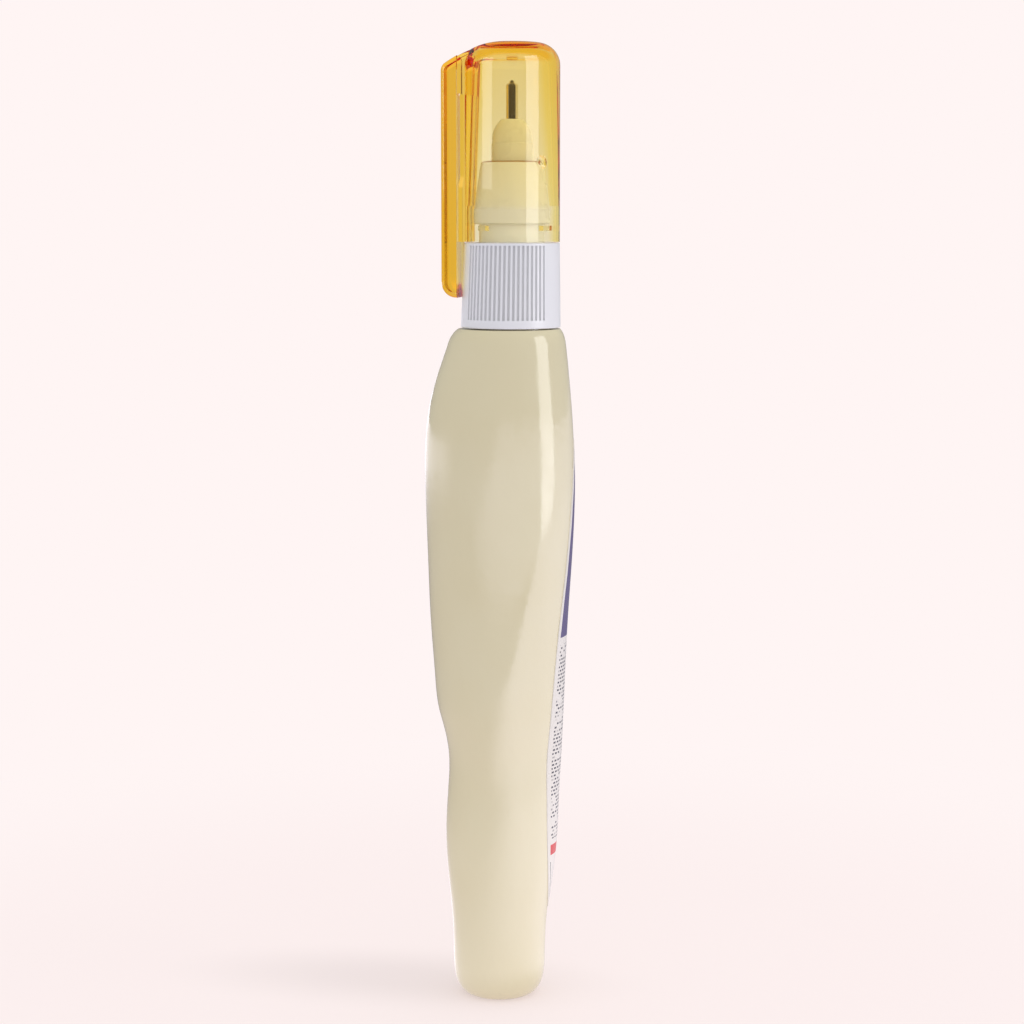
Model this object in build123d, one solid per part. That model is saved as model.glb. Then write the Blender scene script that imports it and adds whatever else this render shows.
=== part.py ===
from build123d import *
import os
from math import cos, pi, sin, sqrt

# A correction pen standing on its base: squeeze bottle, collar, valved nozzle and clear cap.
# Millimetres, +Z up. The origin is on the base plane, on the axis of neck, nozzle and cap.
# The clip is on the -X side, the label on the +X side, and y = 0 is the plane of symmetry.

# Bottle: a bulb that leans out to the clip side, trimmed by the form of the tail
shoulder_height = 99.3
tail_half_width = 8.65
tail_half_depth = 7.3
tail_lean = 1.9
bulb_half_width = 9.55
bulb_half_depth = 9.0
bulb_lean = 4.9
bottle_wall = 1.1
base_wall = 1.6
shoulder_wall = 1.3
neck_radius = 5.6
neck_bore = 4.3
neck_height = 8.7
bead_rise = 3.6
bead_width = 1.2
bead_depth = 0.3

# Each station: height, then lean, width and depth of the tail's form, then the same three of the bulb's.
# The body is what lies inside both forms, and they cross in a crease that slants to the finger step.
station_shares = (
    (0.000, 1.000, 0.497, 0.562, 0.388, 0.563, 0.570),
    (0.008, 1.000, 0.659, 0.747, 0.388, 0.746, 0.757),
    (0.026, 1.000, 0.755, 0.856, 0.388, 0.855, 0.868),
    (0.055, 1.000, 0.786, 0.890, 0.388, 0.890, 0.902),
    (0.121, 0.980, 0.815, 0.918, 0.380, 0.923, 0.931),
    (0.191, 0.920, 0.907, 0.952, 0.357, 1.000, 0.930),
    (0.252, 0.840, 0.954, 0.966, 0.290, 1.010, 0.890),
    (0.312, 0.700, 0.950, 0.973, 0.173, 0.948, 0.828),
    (0.368, 2.000, 1.272, 1.056, 0.153, 0.906, 0.844),
    (0.403, 2.437, 1.387, 1.155, 0.182, 0.952, 0.889),
    (0.438, 2.358, 1.387, 1.216, 0.235, 1.021, 0.922),
    (0.483, 2.263, 1.387, 1.282, 0.245, 1.068, 0.956),
    (0.564, 2.074, 1.387, 1.368, 0.224, 1.141, 0.983),
    (0.665, 1.732, 1.387, 1.425, 0.245, 1.173, 1.000),
    (0.775, 1.526, 1.549, 1.644, 0.373, 1.145, 1.000),
    (0.866, 1.316, 1.549, 1.644, 0.363, 1.112, 0.978),
    (0.932, 1.053, 1.445, 1.575, 0.265, 1.005, 0.933),
    (0.972, 0.789, 1.329, 1.438, 0.167, 0.913, 0.883),
    (0.992, 0.632, 1.249, 1.370, 0.119, 0.845, 0.833),
    (1.000, 0.526, 1.179, 1.301, 0.082, 0.775, 0.789),
)
spine_share = 0.4
crease_power = 60
outline_points = 64

# Label: a leaf of film on the tail's +X side
label_foot = 13.3
label_height = 70.0
label_half_width = 3.9
label_thickness = 0.12
leaf_shares = (
    (0.03, 0.27),
    (0.09, 0.62),
    (0.18, 0.87),
    (0.28, 0.97),
    (0.39, 1.00),
    (0.50, 0.96),
    (0.60, 0.86),
    (0.70, 0.70),
    (0.80, 0.53),
    (0.88, 0.37),
    (0.94, 0.20),
)

# Collar: a sleeve that snaps over the neck and traps the nozzle's flange
collar_gap = 0.2
collar_height = 12.2
collar_top_radius = 6.9
collar_foot_radius = 7.22
collar_foot_shift = 0.18
flute_count = 19
flute_pitch = 5.5
flute_radius = 0.22
flute_offset = -0.12
flute_foot_band = 1.2
flute_top_band = 0.4
collar_edge_round = 0.2

# Nozzle: plug, flange, base, snap ring and cone
plug_depth = 7.0
plug_bore = 3.3
flange_radius = 5.3
flange_thickness = 1.3
base_radius = 4.75
ring_lift = 2.6
ring_height = 2.35
ring_radius = 5.53
ring_chamfer = 0.2
cone_foot_radius = 5.45
cone_top_radius = 4.45
cone_height = 6.7
cone_round = 0.5
socket_radius = 2.6
socket_depth = 6.3
throat_radius = 2.2
throat_length = 1.8

# Tip holder, writing tube and valve
holder_radius = 3.0
holder_band = 2.55
holder_round = 0.07
dome_foot_radius = 2.85
dome_top_radius = 1.6
dome_height = 3.4
dome_crown = 0.45
chamber_radius = 1.75
chamber_height = 8.9
tube_radius = 0.87
tube_bore = 0.45
tube_reach = 5.1
tube_round = 0.4
seat_thickness = 1.75
seat_recess = 0.2
seat_hole_radius = 0.3
seat_hole_circle = 1.15
seat_hole_count = 3
pin_radius = 0.4
pin_reach = 0.45
pin_round = 0.38
pin_head_radius = 1.3
pin_head_height = 0.9
pin_stem_radius = 0.5
pin_stem_length = 7.3
spring_wire = 0.32
spring_radius = 1.22
spring_turns = 6

# Shaker ball
ball_radius = 2.8

# Cap and its clip, one moulding
cap_radius = 6.9
mouth_bore = 6.3
mouth_headroom = 0.25
bore_foot_radius = 6.1
bore_top_radius = 5.25
cap_headroom = 3.6
roof_wall = 1.55
crown_round = 3.2
roof_round = 1.7
pip_radius = 0.8
pip_drop = 0.7
pip_round = 0.4
mouth_gap = 0.1
nub_width = 1.3
nub_height = 0.7
nub_drop = 0.2
nub_angles = (33.0, 123.0)
clip_reach = 9.84
clip_thickness = 2.3
clip_width = 7.0
clip_drop = 8.0
clip_fall = 3.3
clip_foot_round = 2.2
clip_corner_round = 1.3
clip_edge_round = 0.7
web_width = 5.0
web_depth = 7.2
web_edge_round = 0.5
slit_width = 0.4
pad_height = 7.8
pad_slope = 1.5
pad_gap = 0.15
gate_lift = 11.2
gate_angle = -44.0
gate_dimple_radius = 1.6
gate_depth = 0.35
gate_stub_radius = 0.35

# Clearances: fixed fits, running fits, seats between flat faces; how far cuts overrun, and how near
# to a place an edge has to lie to be picked there
fixed_fit = 0.04
running_fit = 0.05
seat_gap = 0.02
overrun = 1.0
pick_margin = 0.02

# Levels that follow from the sizes above
neck_top = shoulder_height + neck_height
collar_foot = shoulder_height + collar_gap
collar_top = collar_foot + collar_height
flange_top = neck_top + seat_gap + flange_thickness
ring_foot = collar_top + ring_lift
ring_top = ring_foot + ring_height
cone_top = ring_top + cone_height
holder_foot = cone_top - socket_depth + seat_gap
holder_step = cone_top + seat_gap + holder_band
dome_top = holder_step + dome_height
chamber_top = holder_foot + chamber_height
tube_top = dome_top + tube_reach
seat_top = holder_foot + seat_recess + seat_thickness
pin_top = tube_top + pin_reach
head_top = chamber_top - seat_gap
head_foot = head_top - pin_head_height
roof_level = pin_top + cap_headroom
cap_top = roof_level + roof_wall
mouth_level = collar_top + mouth_gap
spine = -spine_share * bulb_lean


# A solid turned about the pen's axis from a closed outline of (radius, height) corners.
def turned(corners, rounds=()):
    outline = make_face(Polyline(*corners, close=True))
    for corner, radius in rounds:
        outline = fillet(outline.vertices().sort_by_distance(corner)[0], radius)
    return revolve(Plane.XZ * outline, Axis.Z)


# A round bar along Z between two levels.
def bar(radius, low, high):
    return Pos(0, 0, low) * Cylinder(radius, high - low, align=(Align.CENTER, Align.CENTER, Align.MIN))


# Distance from the spine to an upright ellipse, along a ray at the given angle.
def ellipse_reach(centre, half_width, half_depth, angle):
    along = cos(angle) / half_width
    across = sin(angle) / half_depth
    offset_share = (spine - centre) / half_width
    square = along**2 + across**2
    middle = offset_share * along
    return (-middle + sqrt(middle**2 - square * (offset_share**2 - 1))) / square


# One closed outline of the bottle: what bulb and tail share, then grown by a wall or a film.
def bottle_outline(station, growth, level):
    _, tail_at, tail_wide, tail_deep, bulb_at, bulb_wide, bulb_deep = station
    points = []
    for step in range(outline_points):
        angle = 2 * pi * step / outline_points
        tail = ellipse_reach(
            -tail_at * tail_lean, tail_wide * tail_half_width, tail_deep * tail_half_depth, angle
        )
        bulb = ellipse_reach(
            -bulb_at * bulb_lean, bulb_wide * bulb_half_width, bulb_deep * bulb_half_depth, angle
        )
        reach = (tail**-crease_power + bulb**-crease_power) ** (-1 / crease_power) + growth
        points.append((spine + reach * cos(angle), reach * sin(angle), level))
    return make_face(Spline(*points, periodic=True))


# The bottle's form between two levels, offset outwards by growth.
def bottle_form(growth, low, high):
    sections = []
    for station in station_shares:
        sections.append(bottle_outline(station, growth, low + station[0] * (high - low)))
    return loft(sections)


def make_bottle():
    body = bottle_form(0, 0, shoulder_height)
    body += bar(neck_radius, shoulder_height - shoulder_wall, neck_top)
    bead_foot = shoulder_height + bead_rise
    body += turned(
        (
            (neck_bore, bead_foot),
            (neck_radius, bead_foot),
            (neck_radius + bead_depth, bead_foot + bead_width / 2),
            (neck_radius, bead_foot + bead_width),
            (neck_bore, bead_foot + bead_width),
        )
    )
    body -= bottle_form(-bottle_wall, base_wall, shoulder_height - shoulder_wall)
    return body - bar(neck_bore, shoulder_height - shoulder_wall - overrun, neck_top + overrun)


def make_label():
    right = [(label_half_width * wide, label_foot + label_height * high) for high, wide in leaf_shares]
    left = [(-across, up) for across, up in reversed(right)]
    foot = (0, label_foot)
    tip = (0, label_foot + label_height)
    leaf = make_face([Spline(foot, *right, tip), Spline(tip, *left, foot)])
    blank = extrude(Plane.YZ * leaf, 2 * tail_half_width)
    film = bottle_form(label_thickness, 0, shoulder_height) & blank
    return film - bottle_form(0, 0, shoulder_height)


# The collar's outer form is a cone that leans a little towards the clip at its foot.
def collar_point(angle, outset, level):
    share = (level - collar_foot) / collar_height
    radius = collar_foot_radius + share * (collar_top_radius - collar_foot_radius) + outset
    centre = -collar_foot_shift * (1 - share)
    return Vector(centre + radius * cos(angle), radius * sin(angle), level)


def make_collar():
    foot = Pos(-collar_foot_shift, 0, collar_foot) * Circle(collar_foot_radius)
    top = Pos(0, 0, collar_top) * Circle(collar_top_radius)
    body = loft([foot, top])
    body = fillet(body.edges().filter_by(GeomType.CIRCLE), collar_edge_round)
    flutes = []
    for side in (-pi / 2, pi / 2):
        for step in range(flute_count):
            angle = side + (step - (flute_count - 1) / 2) * flute_pitch * pi / 180
            start = collar_point(angle, flute_offset, collar_foot + flute_foot_band)
            end = collar_point(angle, flute_offset, collar_top - flute_top_band)
            run = end - start
            cutter = Cylinder(flute_radius, run.length, align=(Align.CENTER, Align.CENTER, Align.MIN))
            flutes.append(Plane(origin=start, z_dir=run) * cutter)
    body -= flutes
    body -= bar(neck_radius + fixed_fit, collar_foot - overrun, flange_top + seat_gap)
    body -= bar(base_radius + fixed_fit, collar_foot, collar_top + overrun)
    groove_foot = shoulder_height + bead_rise
    groove = turned(
        (
            (neck_bore, groove_foot),
            (neck_radius + fixed_fit, groove_foot),
            (neck_radius + fixed_fit + bead_depth, groove_foot + bead_width / 2),
            (neck_radius + fixed_fit, groove_foot + bead_width),
            (neck_bore, groove_foot + bead_width),
        )
    )
    return body - groove


def make_nozzle():
    plug_foot = neck_top + seat_gap - plug_depth
    flange_foot = neck_top + seat_gap
    plug_radius = neck_bore - fixed_fit
    ledge = cone_top - socket_depth
    body = turned(
        (
            (plug_bore, plug_foot),
            (plug_radius, plug_foot),
            (plug_radius, flange_foot),
            (flange_radius, flange_foot),
            (flange_radius, flange_top),
            (base_radius, flange_top),
            (base_radius, ring_foot),
            (ring_radius - ring_chamfer, ring_foot),
            (ring_radius, ring_foot + ring_chamfer),
            (ring_radius, ring_top - ring_chamfer),
            (cone_foot_radius, ring_top),
            (cone_top_radius, cone_top),
            (socket_radius, cone_top),
            (socket_radius, ledge),
            (throat_radius, ledge),
            (throat_radius, ledge - throat_length),
            (plug_bore, ledge - throat_length),
        ),
        (((cone_top_radius, cone_top), cone_round),),
    )
    return body


def make_tip_holder():
    stem_radius = socket_radius - fixed_fit
    band_foot = cone_top + seat_gap
    dome = SagittaArc((dome_foot_radius, holder_step), (dome_top_radius, dome_top), -dome_crown)
    sides = Polyline(
        (dome_top_radius, dome_top),
        (tube_radius + fixed_fit, dome_top),
        (tube_radius + fixed_fit, chamber_top),
        (chamber_radius, chamber_top),
        (chamber_radius, holder_foot),
        (stem_radius, holder_foot),
        (stem_radius, band_foot),
        (holder_radius, band_foot),
        (holder_radius, holder_step),
        (dome_foot_radius, holder_step),
    )
    outline = make_face([dome, sides])
    rim = outline.vertices().sort_by_distance((holder_radius, holder_step))[0]
    outline = fillet(rim, holder_round)
    return revolve(Plane.XZ * outline, Axis.Z)


def make_tip_tube():
    return turned(
        (
            (tube_bore, chamber_top),
            (tube_radius, chamber_top),
            (tube_radius, tube_top),
            (tube_bore, tube_top),
        ),
        (((tube_radius, tube_top), tube_round),),
    )


def make_valve_pin():
    stem_foot = head_foot - pin_stem_length
    return turned(
        (
            (0, stem_foot),
            (pin_stem_radius, stem_foot),
            (pin_stem_radius, head_foot),
            (pin_head_radius, head_foot),
            (pin_head_radius, head_top),
            (pin_radius, head_top),
            (pin_radius, pin_top),
            (0, pin_top),
        ),
        (((pin_radius, pin_top), pin_round),),
    )


def make_spring_seat():
    body = bar(chamber_radius - fixed_fit, seat_top - seat_thickness, seat_top)
    body -= bar(pin_stem_radius + running_fit, seat_top - seat_thickness - overrun, seat_top + overrun)
    for hole in PolarLocations(seat_hole_circle, seat_hole_count):
        body -= hole * bar(seat_hole_radius, seat_top - seat_thickness - overrun, seat_top + overrun)
    return body


# Place and direction on the spring's centre line after a number of turns.
def spring_spot(turn):
    low = seat_top + seat_gap + spring_wire / 2
    high = head_foot - seat_gap - spring_wire / 2
    angle = 2 * pi * turn
    climb = (high - low) / spring_turns
    spot = Vector(spring_radius * cos(angle), spring_radius * sin(angle), low + climb * turn)
    heading = Vector(-spring_radius * sin(angle), spring_radius * cos(angle), climb / (2 * pi))
    return spot, heading.normalized()


# Two arcs that leave the start and reach the end in the given directions.
def biarc(start, start_heading, end, end_heading):
    chord = end - start
    spread = 2 * (1 - start_heading.dot(end_heading))
    forward = chord.dot(start_heading + end_heading)
    leg = (-forward + sqrt(forward**2 + spread * chord.dot(chord))) / spread
    first = start + start_heading * leg
    last = end - end_heading * leg
    joint = (first + last) / 2
    return [
        TangentArc(start, joint, tangent=start_heading),
        TangentArc(joint, end, tangent=last - first),
    ]


def make_valve_spring():
    quarters = 4 * spring_turns
    path = []
    for quarter in range(quarters):
        path += biarc(*spring_spot(quarter / 4), *spring_spot((quarter + 1) / 4))
    start, heading = spring_spot(0)
    per_turn = 24
    samples = [spring_spot(step / per_turn)[0] for step in range(per_turn * spring_turns + 1)]
    half = per_turn // 2
    apart = min((b - a).length for i, a in enumerate(samples) for b in samples[i + half :])
    print("valve spring: least gap to itself", round(apart - spring_wire, 2), "mm")
    return sweep(Plane(origin=start, z_dir=heading) * Circle(spring_wire / 2), path=Wire(path))


def make_shaker_ball():
    return Pos(-tail_lean, 0, base_wall + ball_radius + running_fit) * Sphere(ball_radius)


# The crown curve falls from the cap's axis to the clip's outer face.
def crown_curve():
    return TangentArc((0, cap_top), (-clip_reach, cap_top - clip_fall), tangent=(-1, 0))


# What lies above the crown curve on the clip's side.
def over_crown():
    sides = Polyline(
        (-clip_reach, cap_top - clip_fall),
        (-clip_reach, cap_top + overrun),
        (0, cap_top + overrun),
        (0, cap_top),
    )
    return extrude(Plane.XZ * make_face([crown_curve(), sides]), cap_radius + overrun, both=True)


# The clip, and the web that carries it with the rail that it springs against, cut from one fin.
# The rail runs down the cap's side, a slit away from the clip and nearly touching it at the foot.
def make_clip():
    clip_foot = mouth_level - clip_drop
    web_foot = cap_top - web_depth
    pad_top = mouth_level + pad_height
    inner_face = clip_reach - clip_thickness
    slit_face = inner_face - slit_width
    pad_face = inner_face - pad_gap
    corner = (-clip_reach, cap_top - clip_fall)
    sides = Polyline(corner, (-clip_reach, clip_foot), (0, clip_foot), (0, cap_top))
    fin = make_face([crown_curve(), sides])
    outer_half = Pos(-clip_reach + clip_thickness / 2, (cap_top + clip_foot) / 2) * Rectangle(
        clip_thickness, cap_top - clip_foot
    )
    slab = fin & outer_half
    slab = fillet(slab.vertices().sort_by_distance(corner)[0], clip_corner_round)
    slab = fillet(slab.vertices().sort_by_distance((-clip_reach, clip_foot))[0], clip_foot_round)
    slab = extrude(Plane.XZ * slab, clip_width / 2, both=True)
    rim = slab.edges().filter_by(lambda e: e.center().X < -inner_face - pick_margin)
    rim = rim.filter_by(lambda e: abs(e.center().Y) > clip_width / 2 - pick_margin)
    slab = fillet(rim, clip_edge_round)
    inner_half = make_face(
        Polyline(
            (0, cap_top),
            (-inner_face, cap_top),
            (-inner_face, web_foot),
            (-slit_face, web_foot),
            (-slit_face, pad_top + pad_slope),
            (-pad_face, pad_top),
            (-pad_face, mouth_level),
            (0, mouth_level),
            close=True,
        )
    )
    web = extrude(Plane.XZ * (fin & inner_half), web_width / 2, both=True)
    return slab, fillet(web.edges().filter_by(GeomType.CIRCLE), web_edge_round)


def make_cap():
    body = turned(
        ((0, mouth_level), (cap_radius, mouth_level), (cap_radius, cap_top), (0, cap_top)),
        (((cap_radius, cap_top), crown_round),),
    )
    body -= over_crown()
    slab, web = make_clip()
    gate = Rot(0, 0, gate_angle) * Pos(0, 0, mouth_level + gate_lift)
    body -= gate * Pos(cap_radius + gate_dimple_radius - gate_depth, 0, 0) * Sphere(gate_dimple_radius)
    stub = gate * extrude(Plane.YZ * Circle(gate_stub_radius), cap_radius - running_fit)
    body = body + web + slab + stub
    bore_foot = ring_top + mouth_headroom
    pip_foot = roof_level - pip_drop
    body -= turned(
        (
            (0, mouth_level - overrun),
            (mouth_bore, mouth_level - overrun),
            (mouth_bore, bore_foot),
            (bore_foot_radius, bore_foot),
            (bore_top_radius, roof_level),
            (pip_radius, roof_level),
            (pip_radius, pip_foot),
            (0, pip_foot),
        ),
        (((bore_top_radius, roof_level), roof_round), ((pip_radius, pip_foot), pip_round)),
    )
    nub_face = ring_radius + running_fit
    nub_reach = (mouth_bore + cap_radius) / 2 - nub_face
    for turn in nub_angles:
        for side in (-1, 1):
            place = Pos(nub_face, 0, ring_foot - nub_drop - nub_height / 2)
            nub = Box(nub_reach, nub_width, nub_height, align=(Align.MIN, Align.CENTER, Align.CENTER))
            body += Rot(0, 0, side * turn) * place * nub
    return body


pieces = {
    "bottle": make_bottle,
    "label": make_label,
    "collar": make_collar,
    "nozzle": make_nozzle,
    "tip_holder": make_tip_holder,
    "tip_tube": make_tip_tube,
    "valve_pin": make_valve_pin,
    "valve_spring": make_valve_spring,
    "spring_seat": make_spring_seat,
    "shaker_ball": make_shaker_ball,
    "cap": make_cap,
}

os.makedirs("parts", exist_ok=True)
for name, make in pieces.items():
    solid = make()
    print(name, round(solid.volume, 2))
    export_step(solid, f"parts/{name}.step")
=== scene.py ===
from functools import reduce
from math import cos, pi, radians, sin

import bpy
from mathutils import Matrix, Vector


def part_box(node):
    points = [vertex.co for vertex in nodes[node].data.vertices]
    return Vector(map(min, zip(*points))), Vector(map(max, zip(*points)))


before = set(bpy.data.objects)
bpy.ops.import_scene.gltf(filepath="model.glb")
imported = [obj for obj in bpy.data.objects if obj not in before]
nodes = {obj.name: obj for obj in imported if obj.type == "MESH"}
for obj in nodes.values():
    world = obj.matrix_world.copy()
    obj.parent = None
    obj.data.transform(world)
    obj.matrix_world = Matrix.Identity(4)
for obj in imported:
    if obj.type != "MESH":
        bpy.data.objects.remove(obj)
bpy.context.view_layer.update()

mm = 0.001
plainBlack = (0.0, 0.0, 0.0, 1.0)
plainWhite = (1.0, 1.0, 1.0, 1.0)
print("frame loaded:", len(nodes), "nodes")


# helpers for node trees

# a colour as a screen shows it, made linear for the shader
def linear(red, green, blue):
    def one(value):
        share = value / 255
        return share / 12.92 if share <= 0.04045 else ((share + 0.055) / 1.055) ** 2.4
    return (one(red), one(green), one(blue), 1.0)


def feed(tree, socket, value):
    if isinstance(value, bpy.types.NodeSocket):
        tree.links.new(value, socket)
    elif value is not None:
        socket.default_value = value


def addNode(tree, kind, inputs=None, **settings):
    node = tree.nodes.new(kind)
    for name, value in settings.items():
        setattr(node, name, value)
    for name, value in (inputs or {}).items():
        feed(tree, node.inputs[name], value)
    return node


def sums(tree, operation, first, second=None):
    node = addNode(tree, "ShaderNodeMath", operation=operation)
    feed(tree, node.inputs[0], first)
    feed(tree, node.inputs[1], second)
    return node.outputs[0]


def times(tree, *values):
    return reduce(lambda product, value: sums(tree, "MULTIPLY", product, value), values)


def plus(tree, *values):
    return reduce(lambda total, value: sums(tree, "ADD", total, value), values)


# what is left of 1
def flip(tree, share):
    return sums(tree, "SUBTRACT", 1.0, share)


def mixColours(tree, factor, first, second):
    node = addNode(tree, "ShaderNodeMix", data_type="RGBA")
    for slot, value in zip((0, 6, 7), (factor, first, second)):  # the colour slots of this node
        feed(tree, node.inputs[slot], value)
    return node.outputs[2]


def mixValues(tree, factor, first, second):
    node = addNode(tree, "ShaderNodeMix", data_type="FLOAT")
    for slot, value in zip((0, 2, 3), (factor, first, second)):  # and its value slots
        feed(tree, node.inputs[slot], value)
    return node.outputs[0]


# goes from low to high while the value goes from start to end
def spread(tree, value, low, high, start=0.0, end=1.0, curve="SMOOTHSTEP"):
    node = addNode(tree, "ShaderNodeMapRange", interpolation_type=curve)
    feed(tree, node.inputs["Value"], value)
    feed(tree, node.inputs["From Min"], start)
    feed(tree, node.inputs["From Max"], end)
    feed(tree, node.inputs["To Min"], low)
    feed(tree, node.inputs["To Max"], high)
    return node.outputs["Result"]


# 1 where a value lies past a line, 0 before it, with a soft edge between
def past(tree, value, line, blur):
    return spread(tree, value, 0.0, 1.0, line - blur, line + blur)


def between(tree, value, low, high, blur):
    return times(tree, past(tree, value, low, blur), flip(tree, past(tree, value, high, blur)))


def objectSpot(tree):
    return addNode(tree, "ShaderNodeTexCoord").outputs["Object"]


def splitVector(tree, vector):
    parts = addNode(tree, "ShaderNodeSeparateXYZ")
    feed(tree, parts.inputs[0], vector)
    return parts.outputs


def vectorStep(tree, operation, first, second):
    node = addNode(tree, "ShaderNodeVectorMath", operation=operation)
    feed(tree, node.inputs[0], first)
    feed(tree, node.inputs[1], second)
    return node.outputs["Vector"]


def lengthOf(tree, vector):
    node = addNode(tree, "ShaderNodeVectorMath", operation="LENGTH")
    feed(tree, node.inputs[0], vector)
    return node.outputs["Value"]


def newGroup(name, inputs, outputs):
    group = bpy.data.node_groups.new(name, "ShaderNodeTree")
    for label in inputs:
        group.interface.new_socket(label, in_out="INPUT", socket_type="NodeSocketFloat")
    for label in outputs:
        group.interface.new_socket(label, in_out="OUTPUT", socket_type="NodeSocketFloat")
    return group, addNode(group, "NodeGroupInput").outputs, addNode(group, "NodeGroupOutput").inputs


def placeGroup(tree, group, **inputs):
    return addNode(tree, "ShaderNodeGroup", inputs, node_tree=group).outputs


def newMaterial(name, constants):
    material = bpy.data.materials.new(name)
    material.use_nodes = True
    tree = material.node_tree
    shader = next(n for n in tree.nodes if n.type == "BSDF_PRINCIPLED")
    for label, value in constants.items():
        shader.inputs[label].default_value = value
    return material, tree, shader


def dress(material, *names):
    for name in names:
        piece = nodes[name]
        piece.data.materials.clear()
        piece.data.materials.append(material)


# shared effects

skinLook = {
    "broadScale": 55.0,
    "patchScale": 260.0,
    "contrast": (0.3, 0.7),
}
ringLook = {
    "stretch": (0.05, 0.05, 1.0),
    "contrast": (0.3, 0.7),
}


# moulded skin: broad shade drift, patchy gloss and the fine texture of a mould
def makeMouldSkin(look):
    group, given, out = newGroup("mouldSkin", ("Grain",), ("Shade", "Gloss", "Height"))
    place = objectSpot(group)

    def noise(scale, detail):
        settings = {"Vector": place, "Scale": scale, "Detail": detail}
        return addNode(group, "ShaderNodeTexNoise", settings).outputs["Fac"]

    feed(group, out["Shade"], spread(group, noise(look["broadScale"], 2.0), 0.0, 1.0, *look["contrast"]))
    feed(group, out["Gloss"], spread(group, noise(look["patchScale"], 4.0), 0.0, 1.0, *look["contrast"]))
    feed(group, out["Height"], noise(given["Grain"], 3.0))
    return group


# turned metal: fine rings round the pen's axis, from the lathe or the drawing die
def makeTurnedRings(look):
    group, given, out = newGroup("turnedRings", ("Rings",), ("Streak",))
    stretched = addNode(group, "ShaderNodeMapping", {"Vector": objectSpot(group), "Scale": look["stretch"]})
    settings = {"Vector": stretched.outputs["Vector"], "Scale": given["Rings"], "Detail": 3.0}
    rings = addNode(group, "ShaderNodeTexNoise", settings)
    feed(group, out["Streak"], spread(group, rings.outputs["Fac"], 0.0, 1.0, *look["contrast"]))
    return group


mouldSkin = makeMouldSkin(skinLook)
turnedRings = makeTurnedRings(ringLook)
print("shared effects ready")


# cream squeeze bottle, with the faint line where the two halves of its mould met

bottleLook = {
    "cream": linear(229, 220, 186),
    "warmCream": linear(227, 217, 181),
    "shine": {"IOR": 1.54, "Specular IOR Level": 0.5},
    "gloss": (0.1, 0.15),
    "grain": 1600.0,
    "bumpDepth": 0.003 * mm,
    "seamHalfWidth": 0.16 * mm,
    "seamShare": 6.0,  # how much higher the seam stands than the grain
}


def makeBottleCream(look):
    material, tree, shader = newMaterial("bottleCream", look["shine"])
    skin = placeGroup(tree, mouldSkin, Grain=look["grain"])
    fromSeam = sums(tree, "ABSOLUTE", splitVector(tree, objectSpot(tree))["Y"])
    seam = spread(tree, fromSeam, look["seamShare"], 0.0, 0.0, look["seamHalfWidth"])
    height = plus(tree, skin["Height"], seam)
    bump = addNode(tree, "ShaderNodeBump", {"Strength": 1.0, "Distance": look["bumpDepth"], "Height": height})
    feed(tree, shader.inputs["Base Color"], mixColours(tree, skin["Shade"], look["cream"], look["warmCream"]))
    feed(tree, shader.inputs["Roughness"], spread(tree, skin["Gloss"], *look["gloss"]))
    feed(tree, shader.inputs["Normal"], bump.outputs["Normal"])
    return material


dress(makeBottleCream(bottleLook), "bottle")
print("bottle dressed")


# white satin moulding of collar, nozzle, tip holder and spring seat

whiteLook = {
    "white": linear(241, 241, 243),
    "coolWhite": linear(237, 238, 241),
    "shine": {"IOR": 1.49, "Specular IOR Level": 0.5},
    "gloss": (0.3, 0.4),
    "grain": 3800.0,
    "bumpDepth": 0.004 * mm,
    "line": None,
    # painted shade: the collar's flutes are painted darker towards their bottoms
    "flutes": {
        "low": 100.7 * mm,
        "high": 111.4 * mm,
        "footRadius": 7.22 * mm,
        "topRadius": 6.9 * mm,
        "footShift": 0.18 * mm,
        "depths": (0.12 * mm, 0.34 * mm),
        "blur": 0.05 * mm,
        "shade": linear(217, 217, 218),
    },
}
# the nozzle's parting line with the holder is painted as a thin darker brown band: painted shade of the gap
# between them
nozzleLook = dict(
    whiteLook,
    white=linear(243, 243, 240),
    coolWhite=linear(239, 239, 234),
    gloss=(0.25, 0.36),
    line={"low": 123.12 * mm, "high": 123.36 * mm, "blur": 0.02 * mm, "tone": linear(174, 138, 94)},
    flutes=None,
)
# the tip holder is painted a darker, greyer copy of the nozzle's white: painted shade over the whole holder
shadedHolderLook = dict(nozzleLook, white=linear(229, 227, 219), coolWhite=linear(224, 222, 213))


# 0 on the collar's cone and 1 at the bottom of its flutes, from how deep a place lies under the cone: the mask
# of the shade painted into the flutes
def fluteShadeMask(tree, flutes, place):
    low, high = flutes["low"], flutes["high"]
    fromTop = flip(tree, spread(tree, place["Z"], 0.0, 1.0, low, high, "LINEAR"))
    across = plus(tree, place["X"], times(tree, fromTop, flutes["footShift"]))
    square = plus(tree, times(tree, across, across), times(tree, place["Y"], place["Y"]))
    wider = times(tree, fromTop, flutes["footRadius"] - flutes["topRadius"])
    cone = plus(tree, wider, flutes["topRadius"])
    depth = sums(tree, "SUBTRACT", cone, sums(tree, "SQRT", square))
    inRun = between(tree, place["Z"], low, high, flutes["blur"])
    return times(tree, spread(tree, depth, 0.0, 1.0, *flutes["depths"]), inRun)


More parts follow.
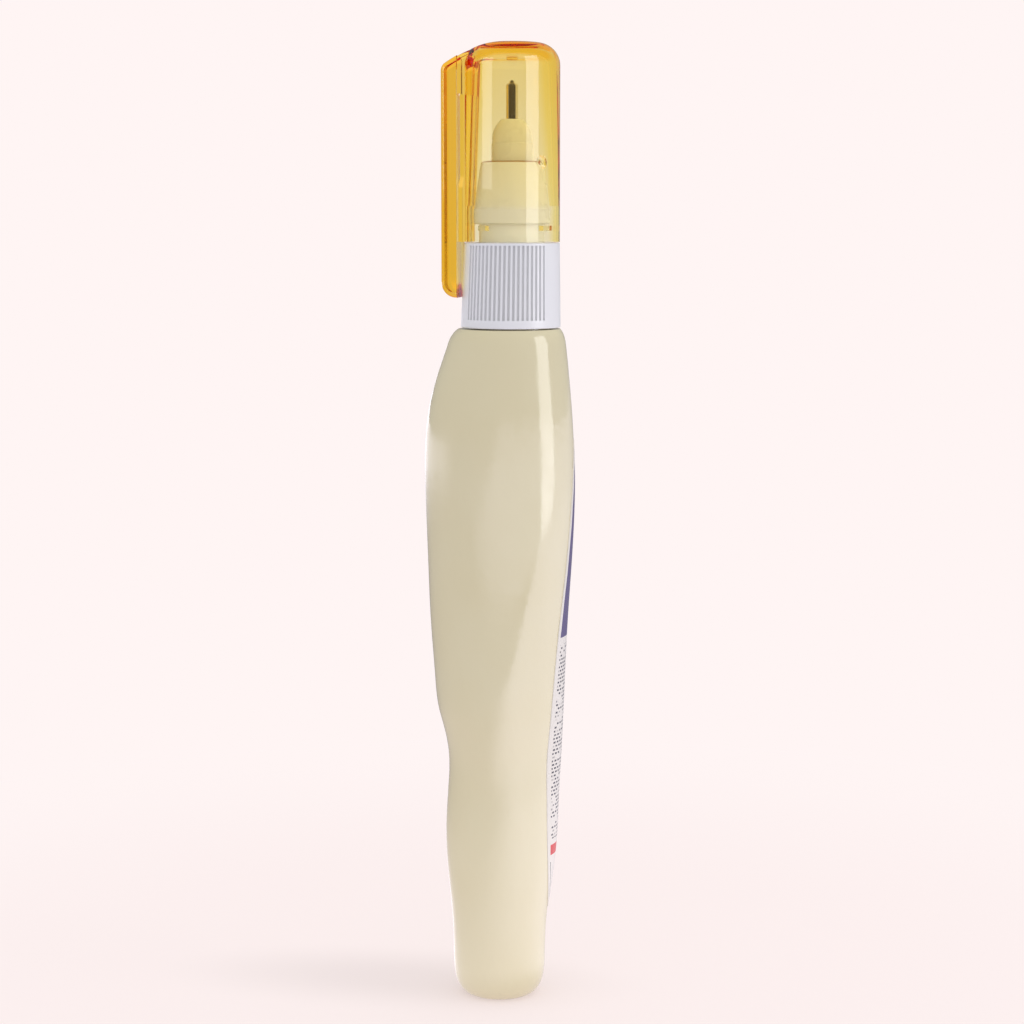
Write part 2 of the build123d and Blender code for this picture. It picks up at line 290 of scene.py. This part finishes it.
def makeWhiteMoulding(name, look):
    material, tree, shader = newMaterial(name, look["shine"])
    skin = placeGroup(tree, mouldSkin, Grain=look["grain"])
    settings = {"Strength": 1.0, "Distance": look["bumpDepth"], "Height": skin["Height"]}
    bump = addNode(tree, "ShaderNodeBump", settings)
    colour = mixColours(tree, skin["Shade"], look["white"], look["coolWhite"])
    place = splitVector(tree, objectSpot(tree))
    line, flutes = look["line"], look["flutes"]
    # a thin band of painted shade at the nozzle's parting line
    if line:
        shadeLineMask = between(tree, place["Z"], line["low"], line["high"], line["blur"])
        colour = mixColours(tree, shadeLineMask, colour, line["tone"])
    # painted shade in the collar's flutes
    if flutes:
        colour = mixColours(tree, fluteShadeMask(tree, flutes, place), colour, flutes["shade"])
    feed(tree, shader.inputs["Base Color"], colour)
    feed(tree, shader.inputs["Roughness"], spread(tree, skin["Gloss"], *look["gloss"]))
    feed(tree, shader.inputs["Normal"], bump.outputs["Normal"])
    return material


dress(makeWhiteMoulding("collarWhite", whiteLook), "collar")
dress(makeWhiteMoulding("nozzleWhite", nozzleLook), "nozzle", "spring_seat")
dress(makeWhiteMoulding("shadedHolderWhite", shadedHolderLook), "tip_holder")
print("white mouldings dressed")


# steel of tip, valve pin, spring and mixing ball

steelLooks = {
    "tipSteel": {
        "nodes": ("tip_tube", "valve_pin"),
        "tone": (0.78, 0.70, 0.63),
        "streakShade": 0.8,
        "gloss": (0.06, 0.14),
        "rings": 9000.0,
    },
    "springSteel": {
        "nodes": ("valve_spring",),
        "tone": (0.52, 0.52, 0.53),
        "streakShade": 0.8,
        "gloss": (0.2, 0.34),
        "rings": 5000.0,
    },
    "ballSteel": {
        "nodes": ("shaker_ball",),
        "tone": (0.62, 0.62, 0.63),
        "streakShade": 0.8,
        "gloss": (0.1, 0.22),
        "rings": 2500.0,
    },
}


def makeSteel(name, look):
    material, tree, shader = newMaterial(name, {"Metallic": 1.0})
    streak = placeGroup(tree, turnedRings, Rings=look["rings"])["Streak"]
    tone = (*look["tone"], 1.0)
    dark = (*(look["streakShade"] * channel for channel in look["tone"]), 1.0)
    feed(tree, shader.inputs["Base Color"], mixColours(tree, streak, tone, dark))
    feed(tree, shader.inputs["Roughness"], spread(tree, streak, *look["gloss"]))
    return material


for steelName, steelLook in steelLooks.items():
    dress(makeSteel(steelName, steelLook), *steelLook["nodes"])
print("steel dressed")


# clear amber cap: the colour is in its thickness, so walls stay pale and edges go deep

capLook = {
    "shine": {"Base Color": plainWhite, "Transmission Weight": 1.0, "IOR": 1.49},
    "gloss": (0.015, 0.05),
    "grain": 1800.0,
    "amber": (0.985, 0.82, 0.019, 1.0),
    "depth": 470.0,
}


def makeCapAmber(look):
    material, tree, shader = newMaterial("capAmber", look["shine"])
    skin = placeGroup(tree, mouldSkin, Grain=look["grain"])
    feed(tree, shader.inputs["Roughness"], spread(tree, skin["Gloss"], *look["gloss"]))
    inside = addNode(tree, "ShaderNodeVolumeAbsorption", {"Color": look["amber"], "Density": look["depth"]})
    output = next(n for n in tree.nodes if n.type == "OUTPUT_MATERIAL")
    feed(tree, output.inputs["Volume"], inside.outputs["Volume"])
    return material


dress(makeCapAmber(capLook), "cap")
print("cap dressed")


# printed label: white film, a violet panel, plain grey bars, a red bar and an outlined foot

labelLook = {
    "film": linear(236, 231, 224),
    "violet": linear(74, 59, 114),
    "deepViolet": linear(67, 54, 108),
    "grey": linear(72, 72, 78),
    "red": linear(214, 60, 60),
    "shine": {"IOR": 1.34},
    "gloss": (0.24, 0.34),
    "grain": 3000.0,
    "border": 0.55 * mm,
    "panelFoot": 54.5 * mm,
    "barsTop": 53.4 * mm,
    "barsFoot": 24.3 * mm,
    "barsEdge": 0.75 * mm,
    "barLength": 0.8 * mm,
    "barPitch": 0.56 * mm,
    "barGap": 0.27,  # as a share of the pitch
    "barStagger": 0.37,
    "barTones": (0.12, 0.32),
    "redTop": 23.4 * mm,
    "redFoot": 21.8 * mm,
    "outlineTop": 20.7 * mm,
    "outlineWidth": 0.14 * mm,
    "blur": 0.03 * mm,
    # the leaf's half width, as a share of its widest, at shares of its height
    "leafShares": (
        (0.0, 0.0), (0.03, 0.27), (0.09, 0.62), (0.18, 0.87), (0.28, 0.97), (0.39, 1.0), (0.50, 0.96),
        (0.60, 0.86), (0.70, 0.70), (0.80, 0.53), (0.88, 0.37), (0.94, 0.20), (1.0, 0.0),
    ),
}


# how far in from the leaf's edge a place on the label is, measured across the label
def labelInset(tree, look, across, up):
    low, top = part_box("label")
    ramp = addNode(tree, "ShaderNodeValToRGB")
    ramp.color_ramp.interpolation = "CARDINAL"
    stops = ramp.color_ramp.elements
    while len(stops) < len(look["leafShares"]):
        stops.new(0.5)
    for stop, (along, wide) in zip(stops, look["leafShares"]):
        stop.position = along
        stop.color = (wide, wide, wide, 1.0)
    feed(tree, ramp.inputs["Fac"], sums(tree, "DIVIDE", sums(tree, "SUBTRACT", up, low.z), top.z - low.z))
    reach = times(tree, ramp.outputs["Color"], (top.y - low.y) / 2)
    return sums(tree, "SUBTRACT", reach, sums(tree, "ABSOLUTE", across))


# bars lie in rows across the label, and only the paler bricks of each row are printed
def labelBars(tree, look, across, up):
    rows = addNode(tree, "ShaderNodeCombineXYZ", {"X": across, "Y": up})
    settings = {
        "Vector": rows.outputs["Vector"],
        "Color1": plainBlack,
        "Color2": plainWhite,
        "Mortar": plainBlack,
        "Scale": 1.0,
        "Brick Width": look["barLength"],
        "Row Height": look["barPitch"],
        "Mortar Size": look["barGap"] * look["barPitch"],
        "Mortar Smooth": 0.1,
    }
    bricks = addNode(tree, "ShaderNodeTexBrick", settings, offset=look["barStagger"], squash=1.0)
    return spread(tree, bricks.outputs["Color"], 0.0, 1.0, *look["barTones"])


def makeLabelPrint(look):
    material, tree, shader = newMaterial("labelPrint", look["shine"])
    skin = placeGroup(tree, mouldSkin, Grain=look["grain"])
    place = splitVector(tree, objectSpot(tree))
    across, up = place["Y"], place["Z"]
    border, blur = look["border"], look["blur"]
    inset = labelInset(tree, look, across, up)
    inBorder = past(tree, inset, border, blur)
    panel = times(tree, inBorder, past(tree, up, look["panelFoot"], blur))
    inBars = between(tree, up, look["barsFoot"], look["barsTop"], blur)
    bars = times(tree, labelBars(tree, look, across, up), inBars, past(tree, inset, look["barsEdge"], blur))
    redBar = times(tree, between(tree, up, look["redFoot"], look["redTop"], blur), inBorder)
    outline = between(tree, inset, border, border + look["outlineWidth"], blur)
    outline = times(tree, outline, flip(tree, past(tree, up, look["outlineTop"], blur)))
    violet = mixColours(tree, skin["Shade"], look["violet"], look["deepViolet"])
    colour = mixColours(tree, panel, look["film"], violet)
    for mask, ink in ((bars, look["grey"]), (redBar, look["red"]), (outline, look["grey"])):
        colour = mixColours(tree, mask, colour, ink)
    feed(tree, shader.inputs["Base Color"], colour)
    feed(tree, shader.inputs["Roughness"], spread(tree, skin["Gloss"], *look["gloss"]))
    return material


dress(makeLabelPrint(labelLook), "label")
print("label printed")


# camera, at the photo's angle: turn and tilt in degrees, lens and sensor in millimetres

cameraLook = {
    "turn": 8.5,
    "away": 0.340,
    "eye": 0.115,
    "tilt": 7.124,
    "lens": 82.294,
    "sensor": 36.0,
    "clip": (0.01, 20.0),
}


def makeCamera(look):
    lens = bpy.data.cameras.new("photoCamera")
    lens.lens = look["lens"]
    lens.sensor_width = look["sensor"]
    lens.clip_start, lens.clip_end = look["clip"]
    camera = bpy.data.objects.new("photoCamera", lens)
    bpy.context.scene.collection.objects.link(camera)
    side = radians(look["turn"])
    camera.location = (look["away"] * sin(side), -look["away"] * cos(side), look["eye"])
    camera.rotation_euler = (radians(90 - look["tilt"]), 0.0, side)
    bpy.context.scene.camera = camera


makeCamera(cameraLook)
print("camera set")


# The studio is set out from the pen's front, the side that the photo shows, and stays there in every view.
# This gives how far a place or direction lies aside of the front line and ahead along it, then its turn from
# that line and its height.
def fromFront(tree, place):
    turned = addNode(tree, "ShaderNodeVectorRotate", {"Vector": place}, rotation_type="Z_AXIS")
    turned.inputs["Angle"].default_value = -radians(cameraLook["turn"])
    parts = splitVector(tree, turned.outputs["Vector"])
    ahead = times(tree, parts["Y"], -1.0)
    return parts["X"], ahead, sums(tree, "ARCTAN2", parts["X"], ahead), parts["Z"]


# floor, pale and seamless: away from the pen it glows as the backdrop does, and next to it a soft shadow is
# painted into its glow

floorLook = {
    "radius": 4.0,
    "sides": 96,
    "insetShare": 0.5,
    "shine": {"Roughness": 0.9, "Specular IOR Level": 0.0, "Emission Strength": 1.0},
    "backdrop": (1.0, 0.913, 0.905, 1.0),
    "paper": (0.49, 0.428, 0.425, 1.0),
    "bounceShares": (0.5, 0.68),
    "bounceReach": (0.05, 0.22),
    "nearGlow": 0.485,
    "shadowReach": (0.06, 0.17),
    # painted shadow: how dim the glow gets at its darkest, where that lies left of the pen, how it is
    # stretched and how far it reaches
    "contactGlow": 0.4,
    "contactAt": (-0.018, 0.004, 0.0),
    "contactShape": (0.42, 1.0, 1.0),
    "contactReach": (0.002, 0.017),
    # what the glossy bottle mirrors: brightness first, then where each part lies, with turns in degrees
    "mirrored": {
        "shade": 0.25,
        "front": 1.35,
        "left": 1.7,
        "table": 2.85,
        "nearTable": 0.1,
        "farTable": 0.8,
        "back": 0.05,
    },
    "tableEdge": (0.15, 0.5),
    "tableLeft": (-0.06, 0.06),
    "tableTurns": (75.0, 165.0),
    "tableNear": (0.004, 0.02),
    "tableFar": (0.5, 0.8),
    "leftTurns": (-95.0, -62.0),
    "leftReach": (0.4, 0.9),
    "frontAhead": 0.31,
    "frontLeft": -0.29,
    "edgeBlur": 0.05,
    "mirrorTint": (1.0, 0.965, 1.1),
}


def makeFloor(look):
    bpy.ops.object.select_all(action="DESELECT")
    bpy.ops.mesh.primitive_circle_add(
        vertices=look["sides"], radius=look["radius"], fill_type="NGON", location=(0, 0, 0))
    floor = bpy.context.object
    floor.name = "studioFloor"
    bpy.ops.object.mode_set(mode="EDIT")
    bpy.ops.mesh.select_all(action="SELECT")
    bpy.ops.mesh.inset(thickness=look["radius"] * look["insetShare"])
    bpy.ops.object.mode_set(mode="OBJECT")
    return floor


# a bright table at the right up to a slanting edge, a shaded strip before it, a paler floor in front of that
# and a little light from the left
def mirroredFloor(tree, look, spot, away):
    aside, ahead, turn, _ = fromFront(tree, spot)
    shares = look["mirrored"]

    # the edge of a reflection is softer the farther from the pen it lies
    def pastLine(value, line):
        distance = sums(tree, "DIVIDE", sums(tree, "SUBTRACT", value, line), away)
        return past(tree, distance, 0.0, look["edgeBlur"])

    start, slant = look["tableEdge"]
    beyond = pastLine(ahead, plus(tree, times(tree, aside, slant), start))
    table = times(
        tree,
        spread(tree, aside, 0.0, shares["table"], *look["tableLeft"]),
        spread(tree, turn, 1.0, shares["back"], *map(radians, look["tableTurns"])),
        spread(tree, away, shares["nearTable"], 1.0, *look["tableNear"]),
        spread(tree, away, 1.0, shares["farTable"], *look["tableFar"]),
        flip(tree, beyond),
    )
    front = times(
        tree,
        pastLine(ahead, look["frontAhead"]),
        pastLine(aside, look["frontLeft"]),
        beyond,
        shares["front"],
    )
    left = times(
        tree,
        spread(tree, turn, shares["left"], 0.0, *map(radians, look["leftTurns"])),
        spread(tree, away, 0.0, 1.0, *look["leftReach"]),
    )
    return plus(tree, left, table, front, shares["shade"])


def makeFloorPaper(look):
    material, tree, shader = newMaterial("floorPaper", look["shine"])
    spot = objectSpot(tree)
    away = lengthOf(tree, spot)
    far = spread(tree, away, 0.0, 1.0, *look["shadowReach"])
    feed(tree, shader.inputs["Base Color"], mixColours(tree, far, look["paper"], plainBlack))
    # seen by eye or through the cap: the backdrop's glow, with a painted shadow that dims it round the pen and
    # most where it stands
    fromContact = vectorStep(tree, "SUBTRACT", spot, look["contactAt"])
    near = lengthOf(tree, vectorStep(tree, "MULTIPLY", fromContact, look["contactShape"]))
    paintedShadow = spread(tree, near, look["contactGlow"], look["nearGlow"], *look["contactReach"])
    glow = mixColours(tree, mixValues(tree, far, paintedShadow, 1.0), plainBlack, look["backdrop"])
    # not seen: what the pen mirrors, or the light that the floor throws up
    path = addNode(tree, "ShaderNodeLightPath").outputs
    bounce = spread(tree, away, *look["bounceShares"], *look["bounceReach"])
    unseen = mixValues(tree, path["Is Glossy Ray"], bounce, mirroredFloor(tree, look, spot, away))
    tinted = addNode(tree, "ShaderNodeCombineXYZ")
    for slot, share in zip(tinted.inputs, look["mirrorTint"]):
        feed(tree, slot, times(tree, unseen, share))
    seen = sums(tree, "MAXIMUM", path["Is Camera Ray"], path["Is Transmission Ray"])
    feed(tree, shader.inputs["Emission Color"], mixColours(tree, seen, tinted.outputs["Vector"], glow))
    return material


floor = makeFloor(floorLook)
floor.data.materials.append(makeFloorPaper(floorLook))
print("floor laid")


# studio: softboxes at the sides, and a pale backdrop all round that is darker to the front in reflections;
# turns and rises of softboxes in degrees, glow as brightness

studioLook = {
    "aim": (0.0, 0.0, 0.075),
    "softboxes": {
        "rightStrip": {
            "turn": 50.0, "rise": 17.5, "away": 0.75, "size": (0.44, 0.6), "glow": 4.4,
            "mirroredBy": ("cap",),
        },
        "leftStrip": {
            "turn": -62.0, "rise": 17.5, "away": 0.75, "size": (0.37, 0.36), "glow": 2.8,
            "mirroredBy": ("cap",),
        },
        "bodyStrip": {
            "turn": 66.0, "rise": 12.0, "away": 0.75, "size": (0.34, 0.5), "glow": 4.2,
            "mirroredBy": ("bottle", "collar"),
        },
        "rightKey": {
            "turn": 72.0, "rise": 28.0, "away": 0.8, "size": (0.3, 0.3), "glow": 1.0,
            "mirroredBy": (),
        },
    },
    "bounces": 24,
}
backdropLook = {
    # light on the pen from the room
    "ambient": 0.857,
    "leftShare": 0.82,
    "leftAside": (-0.8, 0.3),
    "riseShares": (0.92, 1.34),
    "riseReach": (0.0, 0.9),
    # light on what is inside the cap
    "capRoom": (1.14, 1.74),
    "capAside": (-0.8, 0.8),
    "capTint": (1.0, 1.04, 1.28, 1.0),
    # what shows through the cap
    "behind": (0.82, 0.81, 0.96, 1.0),
    "besides": (0.82, 0.75, 0.45, 1.0),
    "behindTurns": (160.0, 174.0),
    "overhead": (0.85, 0.62, 0.12, 1.0),
    "overheadRise": (0.2, 0.5),
    # what the pen mirrors, and what the tip mirrors inside the cap
    "frontTurns": (-70.0, 72.0),
    "frontBlur": 0.05,
    "mirrorRoom": 0.3,
    "mirrorFront": (0.12, 0.3),
    "mirrorFrontRise": (-0.02, 0.03),
    "mirrorTop": (0.75, 0.9),
    "mirrorTopGlow": 0.15,
    "tipRoom": 0.9,
    "tipFront": 0.02,
    "tipCrossings": 4.0,  # to the tip and back out, a ray goes through the two faces of the cap's wall twice
}


def aroundPen(turn, rise, away, aim):
    side = radians(turn + cameraLook["turn"])
    lift = radians(rise)
    return Vector(aim) + away * Vector((sin(side) * cos(lift), -cos(side) * cos(lift), sin(lift)))


# a strip shows only in the reflections of its pieces, and the key only lights: neither is seen through the cap
def makeSoftbox(name, box, aim):
    lamp = bpy.data.lights.new(name, "AREA")
    lamp.shape = "RECTANGLE"
    lamp.size, lamp.size_y = box["size"]
    lamp.energy = box["glow"] * pi * lamp.size * lamp.size_y
    softbox = bpy.data.objects.new(name, lamp)
    bpy.context.scene.collection.objects.link(softbox)
    softbox.location = aroundPen(box["turn"], box["rise"], box["away"], aim)
    softbox.rotation_euler = (Vector(aim) - softbox.location).to_track_quat("-Z", "Y").to_euler()
    softbox.visible_glossy = bool(box["mirroredBy"])
    softbox.visible_diffuse = not box["mirroredBy"]
    softbox.visible_transmission = False
    if box["mirroredBy"]:
        receivers = bpy.data.collections.new(name + "Receivers")
        for pieceName in box["mirroredBy"]:
            receivers.objects.link(nodes[pieceName])
        softbox.light_linking.receiver_collection = receivers


# what each kind of ray meets: the backdrop where it is looked at, side walls and a dark front where it is
# mirrored, an even room where it lights the pen, and a brighter one where it lights the inside of the cap
def makeBackdrop(look, backdrop):
    world = bpy.data.worlds.new("studioBackdrop")
    bpy.context.scene.world = world
    world.use_nodes = True
    tree = world.node_tree
    tree.nodes.clear()
    aside, _, turn, rise = fromFront(tree, addNode(tree, "ShaderNodeTexCoord").outputs["Generated"])

    # kinds of ray
    path = addNode(tree, "ShaderNodeLightPath").outputs
    looked, through = path["Is Camera Ray"], path["Is Transmission Ray"]
    lit = sums(tree, "GREATER_THAN", path["Diffuse Depth"], 0.5)
    glossy = sums(tree, "GREATER_THAN", path["Glossy Depth"], 0.5)
    mirrored = times(tree, glossy, sums(tree, "MAXIMUM", path["Is Glossy Ray"], through), flip(tree, lit))
    inAndOut = sums(tree, "COMPARE", path["Transmission Depth"], look["tipCrossings"])
    onTip = times(tree, inAndOut, sums(tree, "COMPARE", path["Glossy Depth"], 1.0))
    clear = times(tree, through, flip(tree, sums(tree, "MAXIMUM", lit, onTip)))
    inCap = times(tree, through, lit)

    # brightness
    room = times(
        tree,
        spread(tree, aside, look["leftShare"], 1.0, *look["leftAside"]),
        look["ambient"],
        spread(tree, rise, *look["riseShares"], *look["riseReach"]),
    )
    capRoom = spread(tree, aside, *look["capRoom"], *look["capAside"])
    front = between(tree, turn, *map(radians, look["frontTurns"]), look["frontBlur"])
    mirrorFront = spread(tree, rise, *look["mirrorFront"], *look["mirrorFrontRise"])
    frontGlow = mixValues(tree, through, mirrorFront, look["tipFront"])
    walls = mixValues(tree, front, mixValues(tree, through, look["mirrorRoom"], look["tipRoom"]), frontGlow)
    walls = mixValues(tree, spread(tree, rise, 0.0, 1.0, *look["mirrorTop"]), walls, look["mirrorTopGlow"])
    strength = mixValues(tree, inCap, room, capRoom)
    strength = mixValues(tree, mirrored, strength, walls)
    strength = mixValues(tree, sums(tree, "MAXIMUM", looked, clear), strength, 1.0)

    # colour
    behind = spread(tree, sums(tree, "ABSOLUTE", turn), 0.0, 1.0, *map(radians, look["behindTurns"]))
    overhead = spread(tree, rise, 0.0, 1.0, *look["overheadRise"])
    around = mixColours(tree, behind, look["besides"], look["behind"])
    around = mixColours(tree, overhead, around, look["overhead"])
    colour = mixColours(tree, inCap, plainWhite, look["capTint"])
    colour = mixColours(tree, clear, colour, around)
    colour = mixColours(tree, looked, colour, backdrop)

    shade = addNode(tree, "ShaderNodeBackground", {"Color": colour, "Strength": strength})
    output = addNode(tree, "ShaderNodeOutputWorld")
    feed(tree, output.inputs["Surface"], shade.outputs[0])


for boxName, softboxLook in studioLook["softboxes"].items():
    makeSoftbox(boxName, softboxLook, studioLook["aim"])
makeBackdrop(backdropLook, floorLook["backdrop"])
bpy.context.scene.view_settings.view_transform = "Standard"
for bounceKind in ("max_bounces", "glossy_bounces", "transmission_bounces"):
    setattr(bpy.context.scene.cycles, bounceKind, studioLook["bounces"])
print("studio lit")
